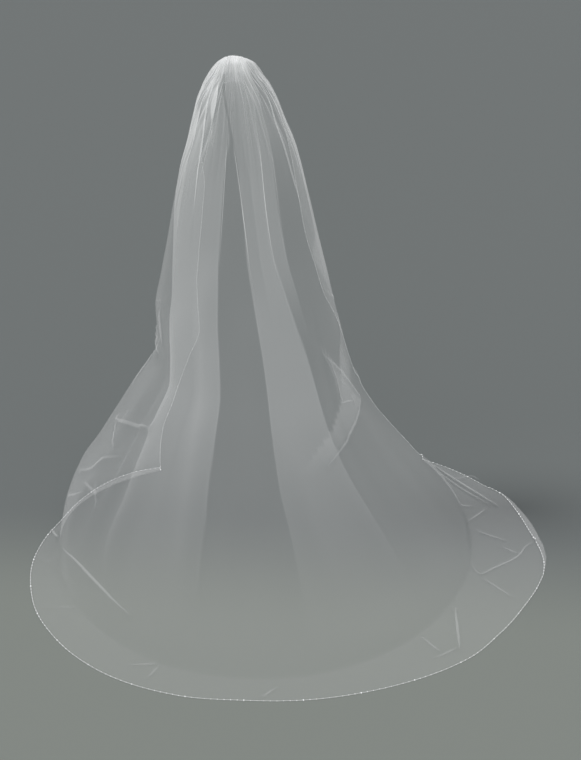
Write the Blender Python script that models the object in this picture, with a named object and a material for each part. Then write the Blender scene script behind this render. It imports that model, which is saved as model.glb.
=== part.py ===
"""Bridal veil: one long, fine net panel gathered onto a side comb, with a beaded cut edge.

The panel has its worn shape. It rises from the comb, rolls over into the crown, falls round the
back and sides, stays open at the front, and runs out over the floor as a train. World frame:
metres, +Z up, the open front faces +Y, and the origin is the seat of the comb.
"""
import math

import bmesh
import bpy
import numpy as np

# Driving sizes
COMB_HEIGHT = 1.705            # the comb's seat above the floor
WALL = 0.0012                  # thickness of the net wall along its own normal
CROWN_WALL = 0.0018            # the wall where the gathers are steep
SEAM_GAP = 0.0003              # gap between pieces that are sewn together
COLUMNS = 96                   # steps round the panel, from the left front edge to the right
GATHERS = 24                   # pleats drawn up on the comb
UNEVEN = (0.30, 2.4, 0.18, 0.9)  # share and pace of the two waves in the gathers' heights
FLOOR_RINGS = 5                # steps from the line where the panel meets the floor to the hem
EDGING_RADIUS = 0.0014         # the bead edging taken as one round trim
EDGING_SIDES = 5
EDGING_START = 2               # the first ring that carries beads
CROWN_RINGS = 8                # rings over which the crown's thicker wall gives way to the plain one
FLARE_HEIGHT = 0.10            # folds die away below this height, where the net turns to the floor
RIDGE_HEIGHT = 0.06            # ridges of the train show below this height
TURN_HEIGHT = 0.04             # the wall's thickness turns upright below this height
ROLL_START = 0.6               # share of the train's breadth from which the hem rolls up

# One row for each level of the hanging panel, from the comb down to the floor, in metres and degrees.
# height: above the floor at centre back. drop: how much lower the level is at the sides.
# left, right: x of the widest points. mid_x, mid_y: where the level's two axes cross.
# back: y at centre back. left_front, right_front: depth of the level in front of its widest points.
# left_wrap, right_wrap: bearing of each front edge, in degrees round from straight back.
# even: 1 where the gathers are evenly spaced along the comb, 0 where they fan out with the bearing.
# gather: half the height of a gather.
LEVEL_COLUMNS = ("height", "drop", "left", "right", "mid_x", "mid_y", "back", "left_front",
                 "right_front", "left_wrap", "right_wrap", "even", "gather")
LEVELS = (
    (1.712, 0.010, -0.040, 0.040, 0.000, 0.000, -0.004, 0.004, 0.004, 90, 90, 1.00, 0.0012),
    (1.735, 0.010, -0.039, 0.042, 0.000, 0.000, -0.006, 0.004, 0.004, 90, 90, 1.00, 0.0014),
    (1.757, 0.014, -0.041, 0.047, 0.000, -0.002, -0.013, 0.004, 0.004, 90, 90, 1.00, 0.0018),
    (1.769, 0.022, -0.048, 0.060, 0.000, -0.004, -0.033, 0.010, 0.010, 92, 92, 0.90, 0.0024),
    (1.758, 0.018, -0.058, 0.077, 0.000, -0.006, -0.059, 0.020, 0.020, 95, 95, 0.75, 0.0030),
    (1.735, 0.012, -0.074, 0.092, 0.000, -0.006, -0.085, 0.035, 0.035, 98, 98, 0.55, 0.0036),
    (1.700, 0.006, -0.094, 0.110, 0.000, -0.005, -0.107, 0.055, 0.055, 102, 102, 0.35, 0.0044),
    (1.655, 0.000, -0.117, 0.137, 0.000, 0.000, -0.122, 0.080, 0.080, 107, 107, 0.15, 0.0050),
    (1.600, 0.000, -0.138, 0.163, 0.000, 0.000, -0.130, 0.100, 0.100, 112, 112, 0.00, 0.0054),
    (1.530, 0.000, -0.157, 0.190, 0.000, 0.000, -0.133, 0.120, 0.120, 120, 116, 0.00, 0.0054),
    (1.450, 0.000, -0.177, 0.224, 0.000, 0.000, -0.136, 0.140, 0.140, 130, 119, 0.00, 0.0048),
    (1.360, 0.000, -0.205, 0.252, 0.000, 0.000, -0.145, 0.160, 0.155, 139, 121, 0.00, 0.0036),
    (1.220, 0.000, -0.236, 0.286, 0.000, 0.000, -0.182, 0.180, 0.166, 147, 123, 0.00, 0.0022),
    (1.060, 0.000, -0.268, 0.324, 0.000, 0.000, -0.232, 0.190, 0.178, 147, 124, 0.00, 0.0012),
    (0.930, 0.000, -0.296, 0.356, 0.010, 0.000, -0.283, 0.210, 0.210, 146, 121, 0.00, 0.0006),
    (0.800, 0.000, -0.322, 0.386, 0.020, 0.000, -0.342, 0.220, 0.245, 146, 117, 0.00, 0.0003),
    (0.700, 0.000, -0.319, 0.412, 0.030, 0.000, -0.400, 0.240, 0.340, 145, 105, 0.00, 0.0),
    (0.600, 0.000, -0.325, 0.437, 0.040, 0.000, -0.470, 0.270, 0.540, 145, 98, 0.00, 0.0),
    (0.470, 0.000, -0.418, 0.487, 0.050, -0.050, -0.605, 0.350, 0.547, 145, 101, 0.00, 0.0),
    (0.344, 0.000, -0.507, 0.573, 0.060, -0.110, -0.760, 0.430, 0.570, 145, 105, 0.00, 0.0),
    (0.266, 0.000, -0.566, 0.648, 0.075, -0.170, -0.860, 0.480, 0.646, 145, 110, 0.00, 0.0),
    (0.170, 0.000, -0.646, 0.757, 0.090, -0.250, -1.020, 0.530, 0.700, 145, 112, 0.00, 0.0),
    (0.100, 0.000, -0.672, 0.832, 0.100, -0.320, -1.160, 0.560, 0.854, 145, 117, 0.00, 0.0),
    (0.040, 0.000, -0.680, 0.893, 0.110, -0.370, -1.310, 0.580, 1.050, 145, 120.5, 0.00, 0.0),
    (0.000, 0.000, -0.683, 0.910, 0.115, -0.380, -1.385, 0.600, 1.100, 145, 122.5, 0.00, 0.0),
)

# The hem on the floor, about one centre: bearing from straight back (degrees, right is positive)
# and reach (metres).
HEM_CENTRE = (0.200, -0.500)
HEM_COLUMNS = ("bearing", "reach")
HEM = (
    (-139, 0.838), (-132, 0.880), (-124, 0.903), (-115, 0.910), (-103, 0.912), (-91, 0.940), (-80, 0.968),
    (-70, 0.987), (-61, 1.007), (-52, 1.020), (-44, 1.032), (-33, 1.040), (-20, 1.030),
    (-7, 1.003), (2, 0.996), (20, 0.981), (38, 0.976), (50, 0.956), (60, 0.951), (72, 0.965),
    (84, 0.984), (98, 0.975), (112, 0.974), (120, 0.942), (130, 0.933), (141, 0.925),
)

CORNER_TURN = 6.0              # degrees that the left end of the hem is drawn in to meet the front edge
CORNER_FROM = 0.80             # place on the left from which it is drawn in

# Long soft folds. top, bottom: heights between which the fold shows. start, middle, end: bearings
# at its top, halfway down and at its foot. width: half its width. depth: how far it stands out.
FOLD_COLUMNS = ("top", "bottom", "start", "middle", "end", "width", "depth")
FOLDS = (
    (1.68, 0.45, -10.0, 12.5, 16.0, 0.026, 0.012),
    (1.68, 0.70, -29.0, -15.6, -14.2, 0.022, 0.011),
    (1.68, 0.84, 45.0, 30.2, 39.0, 0.030, 0.014),
    (1.66, 1.18, 57.0, 55.0, 66.0, 0.018, 0.009),
    (1.40, 0.66, -83.0, -51.5, -43.0, 0.044, 0.018),
    (1.66, 1.02, -44.0, -41.0, -37.0, 0.018, 0.008),
    (1.64, 1.22, -57.0, -62.0, -72.0, 0.016, 0.008),
    (1.64, 1.30, 71.0, 69.0, 76.0, 0.016, 0.008),
    (1.62, 0.96, -106.0, -112.0, -119.0, 0.022, 0.010),
    (1.60, 1.06, 99.0, 102.0, 105.0, 0.018, 0.008),
    (1.05, 0.05, 33.0, 36.0, 40.0, 0.055, 0.026),
    (0.95, 0.05, 4.0, 5.0, 6.0, 0.060, 0.028),
    (1.10, 0.05, -18.0, -16.0, -14.0, 0.050, 0.026),
    (0.90, 0.05, -42.0, -43.0, -44.0, 0.055, 0.026),
    (0.80, 0.05, -62.0, -68.0, -74.0, 0.050, 0.018),
    (0.80, 0.05, 68.0, 71.0, 74.0, 0.055, 0.020),
    (0.70, 0.05, -98.0, -101.0, -104.0, 0.055, 0.016),
    (0.62, 0.05, 88.0, 90.0, 92.0, 0.050, 0.014),
    (0.55, 0.05, 18.0, 19.0, 20.0, 0.045, 0.016),
)
FOLD_FADE = 0.16               # a fold dies away over this height at each end

# Short sideways buckles where the hanging cloth meets the flare and folds on itself.
# height, bearing: the middle. tall, wide: half sizes in metres. depth: outward.
BUCKLE_COLUMNS = ("height", "bearing", "tall", "wide", "depth")
BUCKLES = (
    (0.745, -84.0, 0.035, 0.10, 0.010),
    (0.620, -86.0, 0.035, 0.09, 0.011),
    (0.470, 66.0, 0.055, 0.07, 0.020),
    (0.340, -76.0, 0.035, 0.10, 0.011),
)

# Ridges that stand up in the train where it lies on the floor: two ends in plan, height and half
# width, in metres.
RIDGE_COLUMNS = ("x0", "y0", "x1", "y1", "high", "wide")
RIDGES = (
    (-0.725, -0.409, -0.353, -0.990, 0.014, 0.030),
    (0.850, 0.130, 1.046, -0.213, 0.016, 0.034),
    (0.866, -0.757, 1.075, -0.600, 0.010, 0.028),
    (0.791, -0.971, 0.779, -1.220, 0.010, 0.030),
)

# The stretch of hem that has rolled up: its bearings and how high its edge stands.
ROLL_FROM, ROLL_TO = 76.0, 118.0
ROLL_HIGH = 0.016

# Comb
TEETH = 20
TOOTH_PITCH = 0.0040
TOOTH_WIDTH = 0.0020
TOOTH_TIP = 0.0009
TOOTH_LENGTH = 0.036
TOOTH_STEPS = 4
SPINE_HIGH = 0.0060
COMB_THICK = 0.0026
COMB_ARCH = 0.0100             # how much lower the spine's ends are than its middle
TOOTH_BOW = 0.0070             # how far a tooth's tip curves to the back
COMB_BACK = 0.0020             # how far behind the origin the spine's middle stands

NET_COLOUR = (0.90, 0.91, 0.91, 1.0)
BEAD_COLOUR = (0.86, 0.87, 0.88, 1.0)
COMB_COLOUR = (0.78, 0.80, 0.81, 1.0)


def smooth_through(knots, values, at):
    """Cubic Hermite curve through (knots, values) with slopes limited so that it never overshoots."""
    knots, values, at = (np.asarray(v, dtype=float) for v in (knots, values, at))
    steps = np.diff(knots)
    rises = np.diff(values) / steps
    before, after = rises[:-1], rises[1:]
    total = np.where(before + after == 0, 1, before + after)
    inner = np.where(before * after > 0, 2 * before * after / total, 0)
    slopes = np.concatenate(([rises[0]], inner, [rises[-1]]))
    at = np.clip(at, knots[0], knots[-1])
    cell = np.clip(np.searchsorted(knots, at, side="right") - 1, 0, len(steps) - 1)
    step = steps[cell]
    t = (at - knots[cell]) / step
    return ((2 * t**3 - 3 * t**2 + 1) * values[cell] + (t**3 - 2 * t**2 + t) * step * slopes[cell]
            + (3 * t**2 - 2 * t**3) * values[cell + 1] + (t**3 - t**2) * step * slopes[cell + 1])


def column(table, names, name):
    return np.array([row[names.index(name)] for row in table], dtype=float)


def level(name, down):
    """A named size of the hanging panel at a place down it, counted in rows of LEVELS."""
    return smooth_through(np.arange(len(LEVELS)), column(LEVELS, LEVEL_COLUMNS, name), down)


def wrap(place, down):
    """Degrees of bearing for one unit of place, on the side that the place is on."""
    return np.where(place < 0, level("left_wrap", down), level("right_wrap", down))


def reach(place, down):
    """Half width of a level on the side that a place is on."""
    return np.where(place < 0, level("mid_x", down) - level("left", down),
                    level("right", down) - level("mid_x", down))


def hanging_form(place, down):
    """The smooth form without folds: each level is four quarter ellipses that share their axes."""
    bearing = np.radians(place * wrap(place, down))
    depth_back = level("mid_y", down) - level("back", down)
    depth_front = np.where(place < 0, level("left_front", down), level("right_front", down))
    even = level("even", down)
    across = even * place + (1 - even) * np.sin(bearing)
    rounded = np.where(np.cos(bearing) >= 0, depth_back, depth_front) * np.cos(bearing)
    along = even * depth_back * (1 - place**2) + (1 - even) * rounded
    x = level("mid_x", down) + reach(place, down) * across
    y = level("mid_y", down) - along
    z = level("height", down) - level("drop", down) * across**2
    return np.stack((x, y, z), axis=-1)


def hem_point(place):
    """The hem on the floor at a place round the panel."""
    into_corner = np.clip((-place - CORNER_FROM) / (1 - CORNER_FROM), 0, 1)**2
    bearing = place * np.where(place < 0, CORNER_TURN - HEM[0][0], HEM[-1][0]) + CORNER_TURN * into_corner
    reach = smooth_through(column(HEM, HEM_COLUMNS, "bearing"), column(HEM, HEM_COLUMNS, "reach"), bearing)
    angle = np.radians(bearing)
    x = HEM_CENTRE[0] + reach * np.sin(angle)
    y = HEM_CENTRE[1] - reach * np.cos(angle)
    return np.stack((x, y, np.zeros_like(x)), axis=-1), bearing


def panel_form(place, ring_down, ring_out):
    """Rings of the smooth form: hanging rings by their place down, then floor rings by their share out."""
    places, downs = np.meshgrid(place, ring_down)
    hanging = hanging_form(places, downs)
    contact = hanging[-1]
    hem, _ = hem_point(place)
    floor = contact + (hem - contact) * np.asarray(ring_out)[:, None, None]
    return np.concatenate((hanging, floor), axis=0)


def outward_normals(grid):
    """Unit normals of a grid of points, from its differences, facing out of the hollow."""
    around = np.gradient(grid, axis=1)
    down = np.gradient(grid, axis=0)
    normal = np.cross(down, around)
    return normal / np.linalg.norm(normal, axis=-1, keepdims=True)


def fold_heights(place, down, height):
    """How far the long folds and the buckles stand out: a bell curve across each one's line."""
    bearing = place * wrap(place, down)
    per_degree = np.radians(reach(place, down))
    out = np.zeros_like(bearing)
    for top, bottom, start, middle, end, width, depth in FOLDS:
        share = np.clip((top - height) / (top - bottom), 0, 1)
        at = (start * (1 - share) * (1 - 2 * share) + 4 * middle * share * (1 - share)
              + end * share * (2 * share - 1))
        fade = np.clip(np.minimum(top - height, height - bottom) / FOLD_FADE, 0, 1)
        across = (bearing - at) * per_degree
        out += depth * (3 * fade**2 - 2 * fade**3) * np.exp(-(across / width)**2)
    for at_height, at_bearing, tall, wide, depth in BUCKLES:
        across = (bearing - at_bearing) * per_degree
        out += depth * np.exp(-((height - at_height) / tall)**2 - (across / wide)**2)
    return out


def gather_heights(place, down):
    """The drawn-up pleats, fading down the back, with two slow waves that make them uneven."""
    turn = (place + 1) / 2 * GATHERS
    uneven = 1 + UNEVEN[0] * np.sin(UNEVEN[1] * turn) + UNEVEN[2] * np.sin(UNEVEN[3] * turn)
    return level("gather", down) * uneven * np.cos(2 * math.pi * turn)


def ridge_heights(points):
    """How high the ridges stand in the train at points on the floor."""
    out = np.zeros(points.shape[:-1])
    for x0, y0, x1, y1, high, wide in RIDGES:
        start = np.array((x0, y0))
        line = np.array((x1, y1)) - start
        along = np.clip(((points[..., :2] - start) @ line) / (line @ line), 0, 1)
        off = np.linalg.norm(points[..., :2] - start - along[..., None] * line, axis=-1)
        out += high * np.exp(-(off / wide)**2)
    return out


def panel_walls():
    """Outer and inner points of the net wall, as two grids of the same shape."""
    place = np.linspace(-1, 1, COLUMNS + 1)
    ring_down = np.arange(len(LEVELS), dtype=float)
    ring_out = np.arange(1, FLOOR_RINGS + 1) / FLOOR_RINGS
    form = panel_form(place, ring_down, ring_out)
    normal = outward_normals(form)
    hanging = len(ring_down)

    down = np.concatenate((ring_down, np.full(FLOOR_RINGS, ring_down[-1])))
    places, downs = np.meshgrid(place, down)
    heights = form[..., 2]
    near_floor = np.clip(heights / FLARE_HEIGHT, 0, 1)
    lift = fold_heights(places, downs, heights) + gather_heights(places, downs)
    outer = form + normal * (lift * near_floor)[..., None]

    _, bearing = hem_point(place)
    out_share = np.concatenate((np.zeros(hanging), ring_out))[:, None]
    outer[..., 2] += (1 - near_floor) * ridge_heights(form) * (heights < RIDGE_HEIGHT)
    rolled = np.sin(math.pi * np.clip((bearing - ROLL_FROM) / (ROLL_TO - ROLL_FROM), 0, 1))
    rising = np.clip((out_share - ROLL_START) / (1 - ROLL_START), 0, 1)**2
    outer[..., 2] += ROLL_HIGH * rolled[None, :] * rising

    steep = np.clip(1 - downs / CROWN_RINGS, 0, 1)
    thick = WALL + (CROWN_WALL - WALL) * steep
    level_share = np.clip(heights / TURN_HEIGHT, 0, 1)
    upright = np.zeros_like(normal)
    upright[..., 2] = 1
    through = normal * level_share[..., None] + upright * (1 - level_share[..., None])
    through /= np.linalg.norm(through, axis=-1, keepdims=True)
    outer[..., 2] += thick * (1 - level_share)
    inner = outer - through * thick[..., None]
    to_origin = np.array((0, 0, -COMB_HEIGHT))
    return outer + to_origin, inner + to_origin


def material(name, colour, roughness, metallic=0.0):
    made = bpy.data.materials.new(name)
    made.use_nodes = True
    shader = made.node_tree.nodes["Principled BSDF"]
    shader.inputs["Base Color"].default_value = colour
    shader.inputs["Roughness"].default_value = roughness
    shader.inputs["Metallic"].default_value = metallic
    return made


def add_object(name, points, faces, finish):
    mesh = bpy.data.meshes.new(name)
    mesh.from_pydata([tuple(p) for p in points], [], faces)
    mesh.materials.append(finish)
    made = bpy.data.objects.new(name, mesh)
    bpy.context.scene.collection.objects.link(made)
    tidy = bmesh.new()
    tidy.from_mesh(mesh)
    bmesh.ops.recalc_face_normals(tidy, faces=tidy.faces)
    tidy.to_mesh(mesh)
    tidy.free()
    mesh.shade_smooth()
    mesh.set_sharp_from_angle(angle=math.radians(50))
    return made


def add_panel(outer, inner):
    """The net panel: both faces of the wall, closed by a narrow rim along all four edges."""
    rings, columns = outer.shape[:2]
    front = np.arange(rings * columns).reshape(rings, columns)
    back = front + rings * columns
    faces = []
    for sheet in (front, back):
        upper = np.stack((sheet[:-1, :-1], sheet[1:, :-1], sheet[1:, 1:]), axis=-1).reshape(-1, 3)
        lower = np.stack((sheet[:-1, :-1], sheet[1:, 1:], sheet[:-1, 1:]), axis=-1).reshape(-1, 3)
        faces += [tuple(t) for t in np.concatenate((upper, lower)).tolist()]
    edge = np.concatenate((front[0, :-1], front[:-1, -1], front[-1, :0:-1], front[:0:-1, 0]))
    far = edge + rings * columns
    faces += [(int(a), int(b), int(d), int(c))
              for a, b, c, d in zip(edge, np.roll(edge, -1), far, np.roll(far, -1))]
    points = np.concatenate((outer.reshape(-1, 3), inner.reshape(-1, 3)))
    return add_object("tulle_panel", points, faces, material("tulle", NET_COLOUR, 0.6))


def run_of(path):
    """Unit direction of a path at each point, halfway between its two legs, and the cosine of its turn."""
    leg = np.diff(path, axis=0)
    leg /= np.linalg.norm(leg, axis=1, keepdims=True)
    run = np.concatenate((leg[:1], leg[:-1] + leg[1:], leg[-1:]))
    turn = np.concatenate(([1.0], np.sum(leg[:-1] * leg[1:], axis=1), [1.0]))
    return run / np.linalg.norm(run, axis=1, keepdims=True), turn


def add_edging(outer, inner):
    """The bead edging: a round trim just off the wall's cut edge, down, round the hem and up again."""
    middle = (outer + inner) / 2
    path = np.concatenate((middle[EDGING_START:-1, 0], middle[-1, :], middle[-2:EDGING_START - 1:-1, -1]))
    neighbour = np.concatenate((middle[EDGING_START:-1, 1], middle[-2, :],
                                middle[-2:EDGING_START - 1:-1, -2]))
    corner = len(middle) - 1 - EDGING_START
    for index, column_in in ((corner, 1), (corner + middle.shape[1] - 1, -2)):
        neighbour[index] = middle[-2, column_in]
    normal = np.concatenate(((outer - inner)[EDGING_START:-1, 0], (outer - inner)[-1, :],
                             (outer - inner)[-2:EDGING_START - 1:-1, -1]))
    normal /= np.linalg.norm(normal, axis=1, keepdims=True)
    run, turn = run_of(path)
    out = path - neighbour
    out -= run * np.sum(out * run, axis=1, keepdims=True)
    out -= normal * np.sum(out * normal, axis=1, keepdims=True)
    out /= np.linalg.norm(out, axis=1, keepdims=True)
    mitre = 1 / np.sqrt((1 + turn) / 2)
    centre = path + out * ((EDGING_RADIUS + SEAM_GAP) * mitre)[:, None]
    lowest = EDGING_RADIUS - COMB_HEIGHT
    centre[:, 2] = np.maximum(centre[:, 2], lowest)
    run, _ = run_of(centre)
    side = out - run * np.sum(out * run, axis=1, keepdims=True)
    side /= np.linalg.norm(side, axis=1, keepdims=True)
    rise = np.cross(run, side)
    turns = 2 * math.pi * np.arange(EDGING_SIDES) / EDGING_SIDES
    rings = (centre[:, None, :] + EDGING_RADIUS * (np.cos(turns)[None, :, None] * side[:, None, :]
                                                   + np.sin(turns)[None, :, None] * rise[:, None, :]))
    number = np.arange(rings.shape[0] * EDGING_SIDES).reshape(-1, EDGING_SIDES)
    after = np.roll(number, -1, axis=1)
    quads = np.stack((number[:-1], after[:-1], after[1:], number[1:]), axis=-1).reshape(-1, 4)
    faces = [tuple(q) for q in quads.tolist()] + [tuple(number[0].tolist()), tuple(number[-1].tolist())]
    return add_object("bead_edging", rings.reshape(-1, 3), faces, material("beads", BEAD_COLOUR, 0.15))


def comb_point(along, below, across):
    """Bend a flat comb: the spine arches from side to side and the teeth bow to the back."""
    half = TEETH * TOOTH_PITCH / 2
    arch = COMB_ARCH * (along / half)**2
    bow = TOOTH_BOW * max(0.0, (below - SPINE_HIGH) / TOOTH_LENGTH)**2
    return along, across - bow - COMB_BACK, -arch - below


def add_comb(top):
    """The comb, cut flat from one sheet and then bent: a spine with tapered teeth below it."""
    half = TEETH * TOOTH_PITCH / 2
    made = bmesh.new()
    corners = {}

    def corner(along, below):
        key = (round(along, 6), round(below, 6))
        if key not in corners:
            corners[key] = made.verts.new((along, below, 0.0))
        return corners[key]

    for tooth in range(TEETH):
        middle = -half + (tooth + 0.5) * TOOTH_PITCH
        left, right = middle - TOOTH_WIDTH / 2, middle + TOOTH_WIDTH / 2
        marks = [middle - TOOTH_PITCH / 2, left, right, middle + TOOTH_PITCH / 2]
        for a, b in zip(marks[:-1], marks[1:]):
            made.faces.new((corner(a, 0.0), corner(b, 0.0), corner(b, SPINE_HIGH), corner(a, SPINE_HIGH)))
        for step in range(TOOTH_STEPS):
            near, far = step / TOOTH_STEPS, (step + 1) / TOOTH_STEPS
            near_half = (TOOTH_WIDTH + (TOOTH_TIP - TOOTH_WIDTH) * near) / 2
            far_half = (TOOTH_WIDTH + (TOOTH_TIP - TOOTH_WIDTH) * far) / 2
            near_down, far_down = SPINE_HIGH + near * TOOTH_LENGTH, SPINE_HIGH + far * TOOTH_LENGTH
            made.faces.new((corner(middle - near_half, near_down), corner(middle + near_half, near_down),
                            corner(middle + far_half, far_down), corner(middle - far_half, far_down)))
    raised = bmesh.ops.extrude_face_region(made, geom=made.faces[:])
    moved = [v for v in raised["geom"] if isinstance(v, bmesh.types.BMVert)]
    bmesh.ops.translate(made, verts=moved, vec=(0, 0, COMB_THICK))
    middle_y = -COMB_THICK / 2
    for vert in made.verts:
        along, below, across = vert.co
        vert.co = comb_point(along, below, across + middle_y)
        vert.co.z += top
    bmesh.ops.recalc_face_normals(made, faces=made.faces)
    mesh = bpy.data.meshes.new("comb")
    made.to_mesh(mesh)
    made.free()
    mesh.materials.append(material("comb_plastic", COMB_COLOUR, 0.2))
    comb = bpy.data.objects.new("comb", mesh)
    bpy.context.scene.collection.objects.link(comb)
    return comb


for old in list(bpy.data.objects):
    bpy.data.objects.remove(old)

outer_wall, inner_wall = panel_walls()
add_panel(outer_wall, inner_wall)
add_edging(outer_wall, inner_wall)
add_comb(LEVELS[0][0] - COMB_HEIGHT - SEAM_GAP)
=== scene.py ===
"""Bridal veil in fine net on a hair comb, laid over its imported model.

One long net panel is gathered onto a comb, rolls over the crown, falls round the back and sides,
stays open at the front and runs out over the floor as a train with a beaded edge. Frame: metres,
+Z up, the open front faces +Y, the origin is the comb's seat 1.705 m above the floor.
"""
import math

import bpy
import numpy as np
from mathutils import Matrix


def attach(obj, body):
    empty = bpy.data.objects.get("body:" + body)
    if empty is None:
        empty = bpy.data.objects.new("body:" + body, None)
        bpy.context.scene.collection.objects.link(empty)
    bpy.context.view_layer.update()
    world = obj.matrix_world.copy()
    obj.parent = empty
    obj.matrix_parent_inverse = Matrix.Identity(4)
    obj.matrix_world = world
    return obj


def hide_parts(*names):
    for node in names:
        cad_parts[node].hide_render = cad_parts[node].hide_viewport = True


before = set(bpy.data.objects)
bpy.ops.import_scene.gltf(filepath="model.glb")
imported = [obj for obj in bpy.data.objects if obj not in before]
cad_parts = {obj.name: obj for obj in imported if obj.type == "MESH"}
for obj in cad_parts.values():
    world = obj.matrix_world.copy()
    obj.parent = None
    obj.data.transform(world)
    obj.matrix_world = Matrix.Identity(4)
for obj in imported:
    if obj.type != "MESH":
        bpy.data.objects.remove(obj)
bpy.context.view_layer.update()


# Net panel
# One width of fine nylon net, cut as a long rounded tongue. Its short straight end is drawn up on
# a thread and sewn to the comb; all the rest is one unlined layer that hangs in folds of its own.
COMB_HEIGHT = 1.705
ACROSS = 480                    # columns of the net's grid, left front edge to right front edge
CROWN_ROWS = 44                 # rows over the gathered crown
DRAPE_ROWS = 116                # rows down the hanging part
TRAIN_ROWS = 40                 # rows from the line where the net meets the floor to the hem
CROWN_END = 8                   # the level where the crown's rows give way to the drape's

# Each level of the hanging net, in metres and degrees, from the comb to the floor.
LEVEL_COLUMNS = ("height", "drop", "left", "right", "mid_x", "mid_y", "back", "left_front",
                 "right_front", "left_wrap", "right_wrap", "even", "gather", "layers")
LEVELS = (
    (1.712, 0.010, -0.040, 0.040, 0.000, 0.000, -0.004, 0.004, 0.004, 90, 90, 1.00, 0.0010, 11.0),
    (1.735, 0.010, -0.039, 0.042, 0.000, 0.000, -0.006, 0.004, 0.004, 90, 90, 1.00, 0.0010, 10.5),
    (1.757, 0.014, -0.041, 0.047, 0.000, -0.002, -0.013, 0.004, 0.004, 90, 90, 1.00, 0.0011, 9.4),
    (1.769, 0.022, -0.048, 0.060, 0.000, -0.004, -0.033, 0.010, 0.010, 92, 92, 0.90, 0.0012, 8.6),
    (1.758, 0.018, -0.058, 0.077, 0.000, -0.006, -0.059, 0.020, 0.020, 95, 95, 0.75, 0.0014, 8.0),
    (1.735, 0.012, -0.074, 0.092, 0.000, -0.006, -0.085, 0.035, 0.035, 98, 98, 0.55, 0.0020, 6.6),
    (1.700, 0.006, -0.094, 0.110, 0.000, -0.005, -0.107, 0.055, 0.055, 102, 102, 0.35, 0.0026, 5.0),
    (1.655, 0.000, -0.117, 0.137, 0.000, 0.000, -0.122, 0.080, 0.080, 107, 107, 0.15, 0.0026, 4.2),
    (1.600, 0.000, -0.138, 0.163, 0.000, 0.000, -0.130, 0.100, 0.100, 112, 112, 0.00, 0.0022, 3.4),
    (1.530, 0.000, -0.157, 0.190, 0.000, 0.000, -0.133, 0.120, 0.120, 120, 116, 0.00, 0.0018, 3.0),
    (1.450, 0.000, -0.177, 0.224, 0.000, 0.000, -0.136, 0.140, 0.140, 130, 119, 0.00, 0.0012, 2.2),
    (1.360, 0.000, -0.205, 0.252, 0.000, 0.000, -0.145, 0.160, 0.155, 139, 121, 0.00, 0.0008, 1.6),
    (1.220, 0.000, -0.236, 0.286, 0.000, 0.000, -0.182, 0.180, 0.166, 147, 123, 0.00, 0.0004, 1.1),
    (1.060, 0.000, -0.268, 0.324, 0.000, 0.000, -0.232, 0.190, 0.178, 147, 124, 0.00, 0.0, 1.0),
    (0.930, 0.000, -0.296, 0.356, 0.010, 0.000, -0.283, 0.210, 0.210, 146, 121, 0.00, 0.0, 1.0),
    (0.800, 0.000, -0.322, 0.386, 0.020, 0.000, -0.342, 0.220, 0.245, 146, 117, 0.00, 0.0, 1.0),
    (0.700, 0.000, -0.319, 0.412, 0.030, 0.000, -0.400, 0.240, 0.340, 145, 105, 0.00, 0.0, 1.0),
    (0.600, 0.000, -0.325, 0.437, 0.040, 0.000, -0.470, 0.270, 0.540, 145, 98, 0.00, 0.0, 1.0),
    (0.470, 0.000, -0.418, 0.487, 0.050, -0.050, -0.605, 0.350, 0.547, 145, 101, 0.00, 0.0, 1.0),
    (0.344, 0.000, -0.507, 0.573, 0.060, -0.110, -0.760, 0.430, 0.570, 145, 105, 0.00, 0.0, 1.0),
    (0.266, 0.000, -0.566, 0.648, 0.075, -0.170, -0.860, 0.480, 0.646, 145, 110, 0.00, 0.0, 1.0),
    (0.170, 0.000, -0.646, 0.757, 0.090, -0.250, -1.020, 0.530, 0.700, 145, 112, 0.00, 0.0, 1.0),
    (0.100, 0.000, -0.672, 0.832, 0.100, -0.320, -1.160, 0.560, 0.854, 145, 117, 0.00, 0.0, 1.0),
    (0.040, 0.000, -0.680, 0.893, 0.110, -0.370, -1.310, 0.580, 1.050, 145, 121.6, 0.00, 0.0, 1.0),
    (0.000, 0.000, -0.683, 0.910, 0.115, -0.380, -1.385, 0.600, 1.100, 145, 122.5, 0.00, 0.0, 1.0),
)
TOP_HEIGHT = max(row[0] for row in LEVELS)
TOP_LEVEL = 3                   # the level of the crown's highest point
ARCH_LEVEL = 4.1                # down to this level the crown is equally dense all round
BACK_FINER = 0.30               # how much closer the columns are at the centre back

# The hem on the floor, about one centre: bearing from straight back in degrees, right positive,
# and reach in metres.
HEM_CENTRE = (0.200, -0.500)
HEM = (
    (-139, 0.838), (-132, 0.880), (-124, 0.903), (-115, 0.910), (-103, 0.912), (-91, 0.940), (-80, 0.968),
    (-70, 0.987), (-61, 1.007), (-52, 1.020), (-44, 1.032), (-33, 1.040), (-20, 1.030),
    (-7, 1.003), (2, 0.996), (20, 0.981), (38, 0.976), (50, 0.956), (60, 0.951), (72, 0.965),
    (84, 0.984), (98, 0.975), (112, 0.974), (120, 0.942), (130, 0.933), (140.5, 0.9205),
)
CORNER_TURN = 6.0               # degrees that the left end of the hem is drawn in
CORNER_FROM = 0.80              # place on the left from which it is drawn in


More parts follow.
